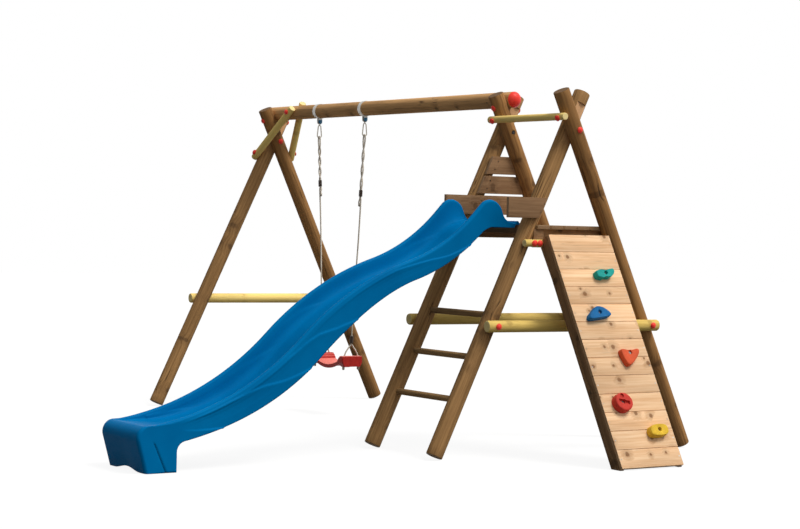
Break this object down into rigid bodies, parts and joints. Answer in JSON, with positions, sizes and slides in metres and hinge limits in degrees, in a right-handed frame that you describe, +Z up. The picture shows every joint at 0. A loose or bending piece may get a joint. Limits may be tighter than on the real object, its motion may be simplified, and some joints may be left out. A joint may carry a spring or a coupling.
{
  "type": "wooden climbing frame",
  "caption": "Play frame of round timber: leg pairs carry a swing beam and a platform tower with rungs, a blue wave slide and a leaning climbing wall with grips.",
  "frame": {"origin": "middle of the outline on the ground", "axes": "+X along the swing beam towards the climbing wall, -Y down the slide, +Z up"},
  "size_m": [4.4458, 3.7271, 2.2275],
  "materials": {
    "pole_wood": "brown stained round timber, sawn ends paler",
    "bar_wood": "yellow stained round timber, matt",
    "board_wood": "dark brown stained board",
    "deck_wood": "brown stained deck board, pale end grain",
    "rung_wood": "brown stained round bar",
    "wall_wood": "pale planed pine with knots",
    "cap_plastic": "moulded red plastic",
    "fixing_steel": "zinc plated",
    "hook_steel": "galvanised",
    "slide_plastic": "moulded blue polyethylene, satin",
    "grip_teal": "cast resin, fine grain",
    "grip_blue": "cast resin, fine grain",
    "grip_orange": "cast resin, fine grain",
    "grip_red": "cast resin, fine grain",
    "grip_yellow": "cast resin, fine grain",
    "bush_nylon": "blue nylon",
    "rope": "pale twisted synthetic rope",
    "dark_plastic": "dark moulded plastic",
    "seat_plastic": "moulded red plastic, satin"
  },
  "bodies": {
    "frame": {"leg_left_front": "pole_wood", "leg_left_back": "pole_wood", "leg_middle_front": "pole_wood", "leg_middle_back": "pole_wood", "leg_right_front": "pole_wood", "leg_right_back": "pole_wood", "swing_beam": "pole_wood", "crossbar_left": "bar_wood", "crossbar_middle": "bar_wood", "crossbar_right": "bar_wood", "brace_front": "bar_wood", "brace_back": "bar_wood", "top_rail": "bar_wood", "wall_bar": "bar_wood", "bar_block": "board_wood", "bearer_middle": "board_wood", "bearer_right": "board_wood", "fascia": "board_wood", "guard_top": "board_wood", "guard_second": "board_wood", "guard_slide_left": "board_wood", "guard_slide_right": "board_wood", "stringer_left": "board_wood", "stringer_right": "board_wood", "deck_boards": "deck_wood", "rung_low": "rung_wood", "rung_second": "rung_wood", "rung_top": "rung_wood", "wall_panel": "wall_wood", "beam_cap_left": "cap_plastic", "beam_cap_right": "cap_plastic", "bolt_caps": "cap_plastic", "frame_bolts": "fixing_steel", "grip_bolts": "fixing_steel", "wall_screws": "fixing_steel", "board_screws": "fixing_steel", "hanger_left": "hook_steel", "hanger_right": "hook_steel", "slide": "slide_plastic", "grip_one": "grip_teal", "grip_two": "grip_blue", "grip_three": "grip_orange", "grip_four": "grip_red", "grip_five": "grip_yellow"},
    "swing": {"bush_left": "bush_nylon", "bush_right": "bush_nylon", "hook_left": "hook_steel", "hook_right": "hook_steel", "rope_left": "rope", "rope_right": "rope", "adjuster_left": "dark_plastic", "adjuster_right": "dark_plastic", "ferrule_left": "dark_plastic", "ferrule_right": "dark_plastic", "seat": "seat_plastic"},
    "gate_l": {"gate_left": "hook_steel"},
    "gate_r": {"gate_right": "hook_steel"}
  },
  "joints": [
    {"name": "swing_pivot", "type": "hinge", "parent": "frame", "child": "swing", "pos_m": [-1.13844, 0.89951, 2.06293], "axis": [1, 0, 0], "range_deg": [-60, 60]},
    {"name": "gate_left_pivot", "type": "hinge", "parent": "swing", "child": "gate_l", "pos_m": [-1.43344, 0.88797, 2.02206], "axis": [1, 0, 0], "range_deg": [0, 20], "stiffness_Nm_per_rad": 0.05, "springref_deg": -11.46},
    {"name": "gate_right_pivot", "type": "hinge", "parent": "swing", "child": "gate_r", "pos_m": [-0.84344, 0.88797, 2.02206], "axis": [1, 0, 0], "range_deg": [0, 20], "stiffness_Nm_per_rad": 0.05, "springref_deg": -11.46}
  ]
}
